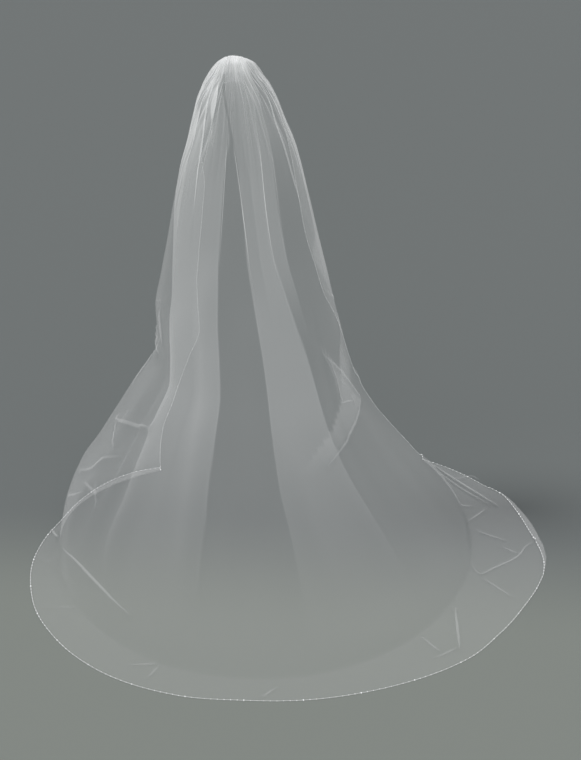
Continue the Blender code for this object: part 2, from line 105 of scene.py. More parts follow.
def smooth_through(knots, values, at):
    """Cubic Hermite curve through (knots, values), each slope the harmonic mean of its two sides."""
    knots, values, at = (np.asarray(v, dtype=float) for v in (knots, values, at))
    steps = np.diff(knots)
    rises = np.diff(values) / steps
    before, after = rises[:-1], rises[1:]
    total = np.where(before + after == 0, 1, before + after)
    inner = np.where(before * after > 0, 2 * before * after / total, 0)
    slopes = np.concatenate(([rises[0]], inner, [rises[-1]]))
    at = np.clip(at, knots[0], knots[-1])
    cell = np.clip(np.searchsorted(knots, at, side="right") - 1, 0, len(steps) - 1)
    step = steps[cell]
    t = (at - knots[cell]) / step
    return ((2 * t**3 - 3 * t**2 + 1) * values[cell] + (t**3 - 2 * t**2 + t) * step * slopes[cell]
            + (3 * t**2 - 2 * t**3) * values[cell + 1] + (t**3 - t**2) * step * slopes[cell + 1])


def level(name, down):
    """A named size of the hanging net at a place down it, counted in rows of LEVELS."""
    values = [row[LEVEL_COLUMNS.index(name)] for row in LEVELS]
    return smooth_through(np.arange(len(LEVELS)), values, down)


def wrap(place, down):
    """Degrees of bearing for one unit of place: how far round the level reaches on that side."""
    return np.where(place < 0, level("left_wrap", down), level("right_wrap", down))


def reach(place, down):
    """Half width of a level on the side that a place is on."""
    return np.where(place < 0, level("mid_x", down) - level("left", down),
                    level("right", down) - level("mid_x", down))


def hanging_form(place, down):
    """The smooth hanging net: x = middle + reach * sin(bearing), y = middle - depth * cos(bearing).

    Near the comb the sine and cosine give way to place and 1 - place squared, an even spacing.
    """
    bearing = np.radians(place * wrap(place, down))
    depth_back = level("mid_y", down) - level("back", down)
    depth_front = np.where(place < 0, level("left_front", down), level("right_front", down))
    even = level("even", down)
    across = even * place + (1 - even) * np.sin(bearing)
    rounded = np.where(np.cos(bearing) >= 0, depth_back, depth_front) * np.cos(bearing)
    along = even * depth_back * (1 - place**2) + (1 - even) * rounded
    x = level("mid_x", down) + reach(place, down) * across
    y = level("mid_y", down) - along
    z = level("height", down) - level("drop", down) * across**2 - COMB_HEIGHT
    return np.stack((x, y, z), axis=-1)


def hem_bearing(place):
    """Bearing of a place on the hem, in degrees, drawn in a little at the left corner."""
    into_corner = np.clip((-place - CORNER_FROM) / (1 - CORNER_FROM), 0, 1)**2
    return place * np.where(place < 0, CORNER_TURN - HEM[0][0], HEM[-1][0]) + CORNER_TURN * into_corner


def hem_line(place):
    """The hem on the floor: reach(bearing) from its centre."""
    bearing = hem_bearing(place)
    out = smooth_through([row[0] for row in HEM], [row[1] for row in HEM], bearing)
    angle = np.radians(bearing)
    x = HEM_CENTRE[0] + out * np.sin(angle)
    y = HEM_CENTRE[1] - out * np.cos(angle)
    return np.stack((x, y, np.full_like(x, -COMB_HEIGHT)), axis=-1)


def outward(grid):
    """Unit normals of a grid of points, facing out: the cross product of its two differences."""
    normal = np.cross(np.gradient(grid, axis=0), np.gradient(grid, axis=1))
    return normal / np.linalg.norm(normal, axis=-1, keepdims=True)


def ease(share):
    """0 to 1 with level ends: 3 s^2 - 2 s^3."""
    share = np.clip(share, 0, 1)
    return share**2 * (3 - 2 * share)


# Pleats that lie over themselves, three layers deep between two bright edges. They run down the
# net from the height top to the height bottom, at three bearings on the way (top, halfway, bottom).
# width: half the pleat in metres at its top and bottom. over: above 1 it laps. opening, closing: the
# heights over which it opens from a point and closes to one. stand: how far its near side stands
# off; below 0 it laps the other way.
PLEATS = (
    (1.80, 1.28, -42.0, -28.0, -24.0, 0.008, 0.012, 3.0, 0.14, 0.40, 0.004),
    (1.60, 0.60, 28.0, 26.0, 42.0, 0.006, 0.010, 1.9, 0.20, 0.60, -0.004),
    (1.60, 0.70, 40.0, 36.0, 41.0, 0.006, 0.010, 1.7, 0.20, 0.60, -0.004),
    (1.60, 0.60, -6.0, -11.0, -14.0, 0.006, 0.010, 1.7, 0.20, 0.60, 0.004),
    (1.60, 0.60, -4.0, 9.0, 12.0, 0.006, 0.010, 1.7, 0.20, 0.60, 0.004),
    (1.72, 1.05, 60.0, 57.0, 70.5, 0.022, 0.020, 2.4, 0.20, 0.25, -0.005),
    (1.80, 1.14, 70.0, 72.0, 76.0, 0.012, 0.018, 3.0, 0.14, 0.34, -0.004),
    (1.80, 0.95, -46.0, -41.0, -37.0, 0.010, 0.018, 3.0, 0.14, 0.60, 0.004),
    (1.80, 1.15, -56.0, -60.0, -72.0, 0.012, 0.018, 3.0, 0.14, 0.40, 0.003),
    (1.80, 1.25, -68.0, -75.0, -83.0, 0.010, 0.014, 3.0, 0.14, 0.30, 0.002),
    (1.80, 1.28, -30.0, -32.0, -36.0, 0.008, 0.010, 2.8, 0.14, 0.30, 0.003),
    (1.80, 1.30, 84.0, 85.0, 92.0, 0.010, 0.014, 3.0, 0.14, 0.30, -0.002),
    (1.70, 0.90, -104.0, -112.0, -120.0, 0.016, 0.026, 2.8, 0.20, 0.40, 0.006),
    (1.70, 1.02, 98.0, 102.0, 106.0, 0.012, 0.020, 2.8, 0.20, 0.40, -0.005),
    (1.10, 0.06, -33.0, -32.0, -30.0, 0.030, 0.056, 1.7, 0.80, 0.80, 0.008),
    (1.10, 0.06, 50.0, 52.0, 57.0, 0.030, 0.046, 1.3, 0.70, 0.80, -0.006),
    (0.85, 0.06, -6.0, -7.0, -9.0, 0.030, 0.050, 1.5, 0.60, 0.60, 0.008),
    (0.70, 0.08, -54.0, -56.0, -60.0, 0.030, 0.046, 1.3, 0.40, 0.40, -0.006),
)
PLEAT_TURN = 0.53               # where a pleat turns back on itself, in its own widths
PLEAT_EDGE = 0.0024             # half width of the turned edge, in metres
EDGE_LAYERS = 2.2               # layers that a turned edge adds

# Broad flat folds, where the net lies in more layers between two lines that run down it. layers:
# how many more inside. left_bright, right_bright: layers that the turned edges add. left, right: the
# two lines as (height, bearing) pairs from the top down.
ZONES = (
    (2.3, 0.8, 1.2,
     ((1.80, -110), (1.45, -104), (1.30, -86), (1.12, -66), (0.98, -57), (0.86, -52), (0.50, -48), (0.02, -46)),
     ((1.80, -40), (1.69, -25), (1.64, -17), (1.59, -11), (1.55, -7), (1.48, -5), (1.42, -8),
      (1.34, -10), (1.12, -12), (0.50, -14), (0.02, -16))),
    (2.0, 1.0, 0.8,
     ((1.80, -34), (1.70, -19), (1.64, -11), (1.57, -5), (1.50, 0), (1.39, 4), (1.28, 6), (1.12, 8),
      (0.60, 12), (0.02, 13)),
     ((1.80, 52), (1.70, 41), (1.62, 30), (1.55, 27), (1.35, 24), (1.12, 25), (0.98, 29), (0.60, 40),
      (0.02, 46))),
    (0.6, 0.6, 0.0,
     ((1.80, 8), (1.62, 9), (1.54, 9), (1.44, 11), (1.33, 14), (1.12, 17), (0.70, 22)),
     ((1.80, 52), (1.70, 41), (1.62, 30), (1.55, 27), (1.35, 24), (1.12, 25), (0.98, 29), (0.70, 36))),
    (2.0, 0.6, 1.0,
     ((1.80, 52), (1.70, 41), (1.62, 30), (1.55, 27), (1.35, 24), (1.12, 25), (0.98, 29), (0.70, 36)),
     ((1.80, 58), (1.65, 44), (1.58, 38), (1.52, 39), (1.44, 37), (1.26, 35), (1.11, 36), (0.90, 39),
      (0.70, 44))),
    (1.0, 0.8, 0.6,
     ((1.50, 80), (1.39, 76), (1.25, 79), (1.11, 77), (1.03, 64), (0.96, 70), (0.85, 82), (0.73, 87)),
     ((1.50, 125), (1.39, 125), (1.25, 125), (1.11, 125), (1.03, 125), (0.96, 125), (0.85, 125), (0.73, 125))),
    (1.2, 0.5, 0.0,
     ((0.76, 88), (0.69, 79), (0.65, 71), (0.58, 64), (0.54, 62), (0.50, 60)),
     ((0.76, 89), (0.69, 125), (0.65, 125), (0.58, 95), (0.54, 78), (0.50, 62))),
    (1.3, 0.8, 1.0,
     ((0.70, 50), (0.66, 55), (0.622, 56.9), (0.57, 58.2), (0.533, 58), (0.513, 57), (0.486, 52), (0.457, 45),
      (0.433, 37), (0.413, 31), (0.387, 25), (0.357, 17)),
     ((0.70, 51), (0.66, 56), (0.632, 59.4), (0.554, 68.6), (0.51, 73.6), (0.464, 78.7), (0.45, 69.5),
      (0.433, 60.7), (0.416, 52), (0.403, 45), (0.38, 35.5), (0.357, 28.7))),
    (0.8, 0.0, 1.0,
     ((1.80, -60), (1.68, -58), (1.62, -54), (1.55, -52), (1.49, -62), (1.40, -74)),
     ((1.80, -54), (1.68, -53), (1.62, -47), (1.55, -45), (1.49, -55), (1.40, -72))),
    (1.5, 0.3, 0.8,
     ((1.80, 2), (1.76, 3), (1.72, 5), (1.66, 8)),
     ((1.80, 16), (1.76, 14), (1.72, 11), (1.66, 8.5))),
)
RIGHT_THINNER = 0.35            # how much thinner the taut net is down the right edge of the bell
ZONE_EDGE = 0.003               # a flat fold's edge fades over this width
ZONE_END = 0.95                 # a flat fold dies away over this height at its foot

# Long soft folds of the bell: heights, bearings at top and bottom, half width and how far out.
FOLDS = (
    (1.05, 0.03, 40.0, 43.0, 0.060, 0.012),
    (0.95, 0.03, 8.0, 9.0, 0.060, 0.026),
    (1.10, 0.03, -20.0, -19.0, 0.050, 0.024),
    (0.90, 0.03, -43.0, -44.0, 0.055, 0.022),
    (0.60, 0.03, -66.0, -70.0, 0.050, 0.010),
    (0.70, 0.03, 66.0, 70.0, 0.070, 0.006),
    (0.70, 0.03, -98.0, -104.0, 0.055, 0.010),
    (0.55, 0.03, 20.0, 21.0, 0.045, 0.016),
    (0.40, 0.03, -6.0, -7.0, 0.040, 0.012),
)
FOLD_FADE = 0.20

# Creases where the hanging net buckles: half width, how far out, layers that the doubled net along
# it adds, and its course as (bearing, height) pairs.
CREASES = (
    (0.004, 0.004, 0.8, ((-81, 0.83), (-54, 0.88))),
    (0.005, 0.010, 1.8, ((-65, 0.81), (-64, 0.76), (-63, 0.71))),
    (0.004, 0.008, 1.8, ((-84, 0.65), (-76, 0.65), (-69, 0.64))),
    (0.004, 0.007, 1.4, ((-84, 0.63), (-76, 0.70))),
    (0.005, 0.009, 1.4, ((-92, 0.70), (-80, 0.655))),
    (0.010, 0.012, 1.6, ((-80.5, 0.386), (-66.0, 0.420), (-57.0, 0.440), (-47.0, 0.452))),
    (0.006, 0.009, 1.6, ((-80.0, 0.390), (-70.0, 0.360), (-64.0, 0.335))),
    (0.004, 0.006, 1.2, ((-72, 0.440), (-69, 0.395))),
    (0.010, 0.009, 1.2, ((-82, 0.215), (-74, 0.250), (-68, 0.300), (-60, 0.345))),
    (0.005, 0.006, 1.4, ((-81, 0.148), (-67, 0.214))),
    (0.007, 0.007, 1.4, ((-70.7, 0.224), (-60.9, 0.232))),
    (0.004, 0.005, 1.2, ((-66, 0.250), (-58, 0.205))),
    (0.006, 0.006, 1.8, ((50.6, 0.693), (59.4, 0.632), (68.6, 0.554), (73.6, 0.510), (78.7, 0.464))),
    (0.005, 0.004, 1.2, ((51, 0.690), (56.9, 0.622), (58.2, 0.570), (56.9, 0.513))),
    (0.006, 0.006, 1.6, ((78.7, 0.464), (69.5, 0.450), (60.7, 0.433), (52.0, 0.416), (45.0, 0.403), (35.5, 0.380))),
    (0.004, 0.004, 1.6, ((56.7, 0.510), (68.4, 0.483))),
    (0.005, 0.005, 1.4, ((64.6, 0.920), (71.3, 0.883), (88.0, 0.828))),
    (0.005, 0.007, 1.4, ((-104, 0.62), (-96, 0.56), (-92, 0.47))),
    (0.005, 0.007, 1.4, ((96, 0.50), (103, 0.44), (106, 0.36))),
)

# Ridges that stand up in the train, the same, with a course in plan.
RIDGES = (
    (0.006, 0.010, 2.0, ((-0.724, -0.409), (-0.706, -0.443), (-0.687, -0.479))),
    (0.007, 0.014, 1.8, ((-0.640, -0.635), (-0.620, -0.682), (-0.573, -0.767), (-0.531, -0.836),
                         (-0.485, -0.908), (-0.426, -0.993), (-0.381, -1.051), (-0.338, -1.101))),
    (0.006, 0.012, 1.6, ((0.827, 0.144), (0.870, 0.069), (1.046, -0.213))),
    (0.005, 0.009, 1.0, ((0.850, 0.060), (0.930, -0.080), (1.020, -0.205))),
    (0.005, 0.007, 1.2, ((0.880, -0.213), (0.945, -0.213))),
    (0.005, 0.008, 1.3, ((0.913, -0.345), (1.003, -0.230))),
    (0.005, 0.007, 1.2, ((0.939, -0.417), (1.045, -0.495))),
    (0.005, 0.006, 1.2, ((1.023, -0.540), (1.076, -0.592))),
    (0.005, 0.008, 1.7, ((0.884, -0.672), (0.913, -0.736), (0.967, -0.694), (1.075, -0.600),
                         (1.107, -0.540), (1.158, -0.487))),
    (0.005, 0.007, 1.2, ((0.917, -0.764), (1.004, -0.893))),
    (0.005, 0.007, 1.3, ((0.662, -1.150), (0.708, -1.226))),
    (0.005, 0.006, 1.1, ((0.694, -1.266), (0.771, -1.209))),
    (0.006, 0.009, 1.8, ((0.791, -0.971), (0.779, -1.220))),
    (0.005, 0.004, 0.6, ((-0.729, -0.636), (-0.683, -0.643))),
    (0.006, 0.004, 0.4, ((-0.664, -0.958), (-0.536, -0.958))),
    (0.005, 0.006, 1.1, ((-0.314, -1.306), (-0.233, -1.300))),
    (0.005, 0.006, 1.1, ((-0.255, -1.378), (-0.222, -1.312))),
    (0.005, 0.006, 1.2, ((0.905, 0.020), (0.975, 0.055), (1.010, 0.010))),
    (0.005, 0.006, 1.2, ((0.120, -1.480), (0.165, -1.430))),
)
CREASE_STEPS = 24               # points along a crease's strip of doubled net
ROLL_FROM, ROLL_TO = 76.0, 118.0    # bearings of the stretch of hem that has rolled up
ROLL_WIDE = 0.030               # how far the rolled stretch turns back in
ROLL_HIGH = 0.006
GATHERS = 38                    # pleats drawn up on the thread at the comb


def pleated(place, down, run):
    """Where the pleats push the net round and out, at each place.

    With u the distance from a pleat's middle in its own widths, the net moves back along itself by
    over * u * exp(-u^2), which laps it three deep, and out by stand * 1.6 u * exp(-u^2 / 1.2).
    It turns back at u = 0.53 on each side, where the line of sight runs along several threads.
    """
    bearing = place * wrap(place, down)
    per_degree = np.radians(reach(place, down))
    round_by = np.zeros_like(bearing)
    out = np.zeros_like(bearing)
    edges = np.zeros_like(bearing)
    for (top, bottom, start, middle, end, wide_top, wide_bottom, over, opening, closing,
         stand) in PLEATS:
        s = np.clip((top - run) / (top - bottom), 0, 1)
        at = start * (1 - s) * (1 - 2 * s) + 4 * middle * s * (1 - s) + end * s * (2 * s - 1)
        narrow = np.clip(per_degree / np.radians(0.12), 0.35, 1)
        width = (wide_top + (wide_bottom - wide_top) * s) * narrow
        fade = np.clip((top - run) / opening, 0, 1) * np.clip((run - bottom) / closing, 0, 1)
        u = (bearing - at) * per_degree / width
        round_by -= fade * over * width * u * np.exp(-u**2)
        out -= fade * stand * 1.6 * u * np.exp(-u**2 / 1.2)
        lapped = ease((fade * over - 1) / 0.6)
        edges += lapped * np.exp(-((np.abs(u) - PLEAT_TURN) * width / PLEAT_EDGE)**2)
    shift = round_by / per_degree / wrap(place, down)
    return shift, out, edges


def line_at(pairs, run):
    """Bearing of a line of (height, bearing) pairs at each height."""
    return smooth_through([pair[0] for pair in pairs[::-1]], [pair[1] for pair in pairs[::-1]], run)


def zoned(bearing, per_degree, run):
    """Layers that the broad flat folds add between their two lines and along them."""
    added = np.zeros_like(bearing)
    for layers, left_bright, right_bright, left, right in ZONES:
        from_left = (bearing - line_at(left, run)) * per_degree
        from_right = (line_at(right, run) - bearing) * per_degree
        inside = np.clip(from_left / ZONE_EDGE + 0.5, 0, 1) * np.clip(from_right / ZONE_EDGE + 0.5, 0, 1)
        lines = (left_bright * np.exp(-(from_left / PLEAT_EDGE)**2)
                 + right_bright * np.exp(-(from_right / PLEAT_EDGE)**2))
        foot = left[-1][0]
        top = left[0][0]
        fade = ease((run - foot) / min(ZONE_END, 0.4 * (top - foot))) * ease((top + 0.02 - run) / 0.05)
        added += (layers * inside + lines) * fade
    return added


def folded(bearing, per_degree, run):
    """How far the long soft folds stand out: a bell curve across each one's line."""
    out = np.zeros_like(bearing)
    for top, bottom, start, end, width, depth in FOLDS:
        s = np.clip((top - run) / (top - bottom), 0, 1)
        across = (bearing - start - (end - start) * s) * per_degree
        out += depth * ease(np.minimum(top - run, run - bottom) / FOLD_FADE) * np.exp(-(across / width)**2)
    return out


def bumps(creases, first, second, scale=1.0):
    """How far creases stand out at points (first, second): depth * exp(-(distance / width)^2).

    Of several creases the one that stands out most counts. scale turns first into metres.
    """
    out = np.zeros_like(first)
    for width, depth, _, course in creases:
        away = np.full_like(first, 9.0)
        for (first_0, second_0), (first_1, second_1) in zip(course[:-1], course[1:]):
            line_a, line_b = (first_1 - first_0) * scale, second_1 - second_0
            from_a, from_b = (first - first_0) * scale, second - second_0
            s = np.clip((from_a * line_a + from_b * line_b) / (line_a**2 + line_b**2), 0, 1)
            away = np.minimum(away, np.hypot(from_a - s * line_a, from_b - s * line_b))
        out = np.maximum(out, depth * np.exp(-(away / width)**2))
    return out


def drawn_up(place, down):
    """The gathers at the comb: an uneven cosine along the row, level by level."""
    turn = (place + 1) / 2 * GATHERS
    uneven = 1 + 0.35 * np.sin(2.4 * turn) + 0.25 * np.sin(0.9 * turn + 1.0)
    bend = 0.35 * np.sin(1.7 * turn + 0.8 * down)
    return level("gather", down) * uneven * np.cos(2 * math.pi * (turn + bend))


def net_rows():
    """Places down the net: even steps over the crown, then even lengths along the centre back."""
    crown = np.linspace(0, CROWN_END, CROWN_ROWS + 1)
    fine = np.linspace(CROWN_END, len(LEVELS) - 1, 2000)
    line = hanging_form(np.zeros_like(fine), fine)
    length = np.concatenate(([0], np.cumsum(np.linalg.norm(np.diff(line, axis=0), axis=1))))
    drape = np.interp(np.linspace(0, length[-1], DRAPE_ROWS + 1)[1:], length, fine)
    return np.concatenate((crown, drape))


def net_columns():
    """Places across the net, closer together at the back: t - fine * sin(pi t) / pi."""
    t = np.linspace(-1, 1, ACROSS + 1)
    return t - BACK_FINER * np.sin(math.pi * t) / math.pi


def net_points():
    """The net's grid of points, the layers that each stands for and how tightly it is gathered."""
    place, down = np.meshgrid(net_columns(), net_rows())
    height = level("height", down)
    run = np.where(down < TOP_LEVEL, 2 * TOP_HEIGHT - height, height)
    shift, out, edges = pleated(place, down, run)
    near_floor = ease(height / 0.12)
    moved = place + shift * near_floor
    form = hanging_form(moved, down)
    across = hanging_form(moved + 0.004, down) - hanging_form(moved - 0.004, down)
    along = hanging_form(moved, down + 0.02) - hanging_form(moved, down - 0.02)
    normal = np.cross(along, across)
    normal /= np.linalg.norm(normal, axis=-1, keepdims=True)
    bearing = moved * wrap(place, down)
    per_degree = np.radians(reach(place, down))
    low = ease((0.30 - height) / 0.15) * np.clip(normal[..., 2], 0, 1)
    out += bumps(RIDGES, form[..., 0], form[..., 1]) * low + bumps(CREASES, bearing, run, per_degree)
    out += folded(bearing, per_degree, run) + drawn_up(place, down)
    hanging = form + normal * (out * np.maximum(near_floor, low))[..., None]

    share = np.linspace(0, 1, TRAIN_ROWS + 1)[1:, None]
    line = place[0]
    spread = hem_line(line) - hanging[-1]
    rolled = np.sin(math.pi * np.clip((hem_bearing(line) - ROLL_FROM) / (ROLL_TO - ROLL_FROM), 0, 1))
    turned_in = ROLL_WIDE * rolled / np.linalg.norm(spread, axis=-1)
    outgoing = np.minimum(share * (1 + turned_in), 1)
    returning = np.maximum(share * (1 + turned_in) - 1, 0)
    train = hanging[-1] + spread * (outgoing - returning)[..., None]
    train[..., 2] += bumps(RIDGES, train[..., 0], train[..., 1]) + ROLL_HIGH * ease(returning / np.maximum(turned_in, 1e-6) * 3)
    train[..., 2] = np.maximum(train[..., 2], -COMB_HEIGHT + 0.0012)

    side = 0.3 + 0.9 * ease((np.abs(bearing) - 16) / 26) - 0.4 * ease((bearing - 20) / 30)
    drawn = 1 + (level("layers", down) - 1) * (1 + (side - 1) * ease((down - ARCH_LEVEL) / 0.8))
    sharp = 0.4 + 0.6 * ease((run - 0.9) / 0.5)
    drawn += EDGE_LAYERS * edges * sharp + zoned(bearing, per_degree, run)
    drawn *= 1 - RIGHT_THINNER * ease((bearing - 58) / 30) * ease((0.80 - run) / 0.15)
    gathered = ease((run - 1.15) / 0.40)
    flat = np.ones(train.shape[:2])
    return (np.concatenate((hanging, train)), np.concatenate((drawn, flat)),
            np.concatenate((gathered, 0 * flat)))


def add_grid(name, points):
    """A mesh of quads over a grid of points, with a UV map that counts the grid from 0 to 1."""
    rows, columns = points.shape[:2]
    index = np.arange(rows * columns).reshape(rows, columns)
    quads = np.stack((index[:-1, :-1], index[1:, :-1], index[1:, 1:], index[:-1, 1:]), axis=-1)
    mesh = bpy.data.meshes.new(name)
    mesh.from_pydata(points.reshape(-1, 3), [], quads.reshape(-1, 4).tolist())
    v, u = np.meshgrid(np.linspace(1, 0, rows), np.linspace(0, 1, columns), indexing="ij")
    uv = np.stack((u, v), axis=-1).reshape(-1, 2)[quads.reshape(-1)]
    mesh.uv_layers.new(name="cloth").data.foreach_set("uv", uv.ravel())
    mesh.shade_smooth()
    made = bpy.data.objects.new(name, mesh)
    bpy.context.scene.collection.objects.link(made)
    return made


def add_strips(name, strips):
    """One mesh of many separate grids: strips, points along, points across, xyz."""
    count, steps, wide = strips.shape[:3]
    index = np.arange(count * steps * wide).reshape(count, steps, wide)
    quads = np.stack((index[:, :-1, :-1], index[:, 1:, :-1], index[:, 1:, 1:], index[:, :-1, 1:]), axis=-1)
    mesh = bpy.data.meshes.new(name)
    mesh.from_pydata(strips.reshape(-1, 3), [], quads.reshape(-1, 4).tolist())
    mesh.shade_smooth()
    made = bpy.data.objects.new(name, mesh)
    bpy.context.scene.collection.objects.link(made)
    return made


def link(nodes, *pairs):
    """Joins each (node, output) to each (node, input)."""
    for source, output, target, socket in pairs:
        nodes.id_data.links.new(source.outputs[output], target.inputs[socket])


def maths(nodes, operation, a, b=None, c=None):
    """One Math node; a, b and c are numbers or outputs."""
    node = nodes.new("ShaderNodeMath")
    node.operation = operation
    for socket, value in zip(node.inputs, (a, b, c)):
        if value is None:
            continue
        if isinstance(value, (int, float)):
            socket.default_value = value
        else:
            nodes.id_data.links.new(value, socket)
    return node.outputs[0]


NET_COVER = 0.052               # share of a flat layer that its threads cover
NET_WHITE = (0.93, 0.94, 0.945, 1.0)
SLANT_LIMIT = 0.30              # the view counts as no more slanting than this
STREAKS_ACROSS = 95.0           # streaks of the gathers from one front edge to the other
STREAKS_DOWN = 1.1              # and how quickly they change down the net
STREAK_DEPTH = 1.0


def net_material():
    """Cover grows with the layers and the slant: 1 - (1 - cover)^(layers / cos(angle of view))."""
    made = bpy.data.materials.new("net")
    made.use_nodes = True
    nodes = made.node_tree.nodes
    shader = nodes["Principled BSDF"]
    shader.inputs["Base Color"].default_value = NET_WHITE
    shader.inputs["Roughness"].default_value = 0.55
    shader.inputs["Specular IOR Level"].default_value = 0.3
    shader.inputs["Sheen Weight"].default_value = 0.25
    shader.inputs["Sheen Roughness"].default_value = 0.4
    layers = nodes.new("ShaderNodeAttribute")
    layers.attribute_name = "layers"
    gathered = nodes.new("ShaderNodeAttribute")
    gathered.attribute_name = "gathered"
    cloth = nodes.new("ShaderNodeUVMap")
    cloth.uv_map = "cloth"
    stretch = nodes.new("ShaderNodeMapping")
    stretch.inputs["Scale"].default_value = (STREAKS_ACROSS, STREAKS_DOWN, 1.0)
    streaks = nodes.new("ShaderNodeTexNoise")
    streaks.inputs["Scale"].default_value = 1.0
    streaks.inputs["Detail"].default_value = 1.5
    link(nodes, (cloth, "UV", stretch, "Vector"), (stretch, "Vector", streaks, "Vector"))
    uneven = maths(nodes, "MULTIPLY", maths(nodes, "SUBTRACT", streaks.outputs["Fac"], 0.5), STREAK_DEPTH)
    factor = maths(nodes, "MULTIPLY_ADD", uneven, gathered.outputs["Fac"], 1.0)
    count = maths(nodes, "MULTIPLY", layers.outputs["Fac"], maths(nodes, "MAXIMUM", factor, 0.2))
    facing = nodes.new("ShaderNodeLayerWeight")
    square_on = maths(nodes, "SUBTRACT", 1.0, facing.outputs["Facing"])
    slant = maths(nodes, "MAXIMUM", square_on, SLANT_LIMIT)
    thick = maths(nodes, "DIVIDE", count, slant)
    clear = maths(nodes, "POWER", 1 - NET_COVER, thick)
    alpha = maths(nodes, "SUBTRACT", 1.0, clear)
    nodes.id_data.links.new(alpha, shader.inputs["Alpha"])
    return made


def sample(grid, row, column):
    """A grid's values between its points: linear in both directions."""
    row = np.clip(row, 0, grid.shape[0] - 1.001)
    column = np.clip(column, 0, grid.shape[1] - 1.001)
    i, j = row.astype(int), column.astype(int)
    s, t = (row - i)[:, None], (column - j)[:, None]
    return ((1 - s) * ((1 - t) * grid[i, j] + t * grid[i, j + 1])
            + s * ((1 - t) * grid[i + 1, j] + t * grid[i + 1, j + 1]))


def along_course(course, degree):
    """Evenly spaced points along a smooth curve through a course; degree turns first into metres."""
    first, second = np.array(course, dtype=float).T
    steps = np.hypot(np.diff(first) * degree, np.diff(second))
    length = np.concatenate(([0], np.cumsum(steps)))
    at = np.linspace(0, length[-1], CREASE_STEPS)
    return smooth_through(length, first, at), smooth_through(length, second, at)


def along_hanging(course, grid, normal):
    """Points and normals of the net along a course of bearings and heights."""
    bearing, height = along_course(course, 0.008)
    heights = np.array([row[0] for row in LEVELS[TOP_LEVEL:]])
    down = np.interp(-height, -heights, np.arange(TOP_LEVEL, len(LEVELS)))
    rows = net_rows()
    columns = net_columns()
    row = np.interp(down, rows, np.arange(len(rows)))
    column = np.interp(bearing / wrap(bearing, down), columns, np.arange(len(columns)))
    return sample(grid, row, column), sample(normal, row, column)


def along_train(course, grid):
    """Points of the train along a course in plan; each height is a mean of the net's points near."""
    plan = np.stack(along_course(course, 1.0), axis=-1)
    low = grid[grid[..., 2] < -COMB_HEIGHT + 0.14]
    near = 1 / (((plan[:, None] - low[None, :, :2])**2).sum(axis=-1) + 0.010**2)**2
    height = (near * low[:, 2]).sum(axis=1) / near.sum(axis=1)
    return np.column_stack((plan, height)), np.tile((0.0, 0.0, 1.0), (CREASE_STEPS, 1))


def crease_strip(path, normal, width, layers):
    """A strip of doubled net, five points across, narrower at both ends, and its layers."""
    along = np.gradient(path, axis=0)
    across = np.cross(normal, along)
    across /= np.linalg.norm(across, axis=1, keepdims=True)
    taper = np.sin(math.pi * np.linspace(0.02, 0.98, CREASE_STEPS))**0.5
    place = np.array((-1.0, -0.6, 0.0, 0.6, 1.0))
    rise = np.array((0.0005, 0.0015, 0.0022, 0.0015, 0.0005))
    points = (path[:, None] + across[:, None] * (place * width)[None, :, None] * taper[:, None, None]
              + normal[:, None] * rise[None, :, None])
    return points, layers * taper[:, None] * np.array((0.0, 0.8, 1.0, 0.8, 0.0))


net_grid, net_layers, net_gathered = net_points()
net = add_grid("net_panel", net_grid)
net_skin = net_material()
net.data.materials.append(net_skin)
net.data.attributes.new("layers", "FLOAT", "POINT").data.foreach_set("value", net_layers.ravel())
net.data.attributes.new("gathered", "FLOAT", "POINT").data.foreach_set("value", net_gathered.ravel())
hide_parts("tulle_panel")

net_normal = outward(net_grid)
if (net_normal[len(LEVELS), ACROSS // 2] @ (0, -1, 0)) < 0:
    net_normal = -net_normal
strips = []
for width, _, layers, course in CREASES:
    strips.append(crease_strip(*along_hanging(course, net_grid, net_normal), width, layers))
for width, _, layers, course in RIDGES:
    strips.append(crease_strip(*along_train(course, net_grid), width, layers))
strip_points = np.stack([strip[0] for strip in strips])
strip_layers = np.stack([strip[1] for strip in strips])
creases = add_strips("net_creases", strip_points)
creases.data.materials.append(net_skin)
creases.data.attributes.new("layers", "FLOAT", "POINT").data.foreach_set("value", strip_layers.ravel())

for piece in (net, creases):
    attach(piece, "root")


# Bead edging
# The cut edge is rolled over a thin cord and sewn down under a row of small round glass beads,
# with a cut crystal every third bead. It runs down both front edges and right round the hem.
BEAD_PITCH = 0.0070
BEAD_RADIUS = 0.0010
CRYSTAL_EVERY = 3
CRYSTAL_RADIUS = 0.0021
LARGE_EVERY = 9                 # crystals from one large crystal to the next
LARGE = 1.4
CORD_RADIUS = 0.0003
CORD_SIDES = 6
FRONT_FINER = 0.5               # size of the beads up the front edges beside those round the hem
EDGING_START = 8                # rows below the comb before the first bead


def edge_path():
    """The net's cut edge from the left front, round the hem, to the right front, at bead steps."""
    edge = np.concatenate((net_grid[EDGING_START:-1, 0], net_grid[-1], net_grid[-2:EDGING_START:-1, -1]))
    length = np.concatenate(([0], np.cumsum(np.linalg.norm(np.diff(edge, axis=0), axis=1))))
    at = np.arange(0, length[-1], BEAD_PITCH)
    path = np.stack([np.interp(at, length, edge[:, i]) for i in range(3)], axis=-1)
    path[:, 2] = np.maximum(path[:, 2], -COMB_HEIGHT + LARGE * CRYSTAL_RADIUS)
    return path


def frames_along(path):
    """Unit run of a path and two directions square to it."""
    run = np.gradient(path, axis=0)
    run /= np.linalg.norm(run, axis=1, keepdims=True)
    side = np.cross(run, (0.13, 0.21, 0.97))
    side /= np.linalg.norm(side, axis=1, keepdims=True)
    return run, side, np.cross(run, side)


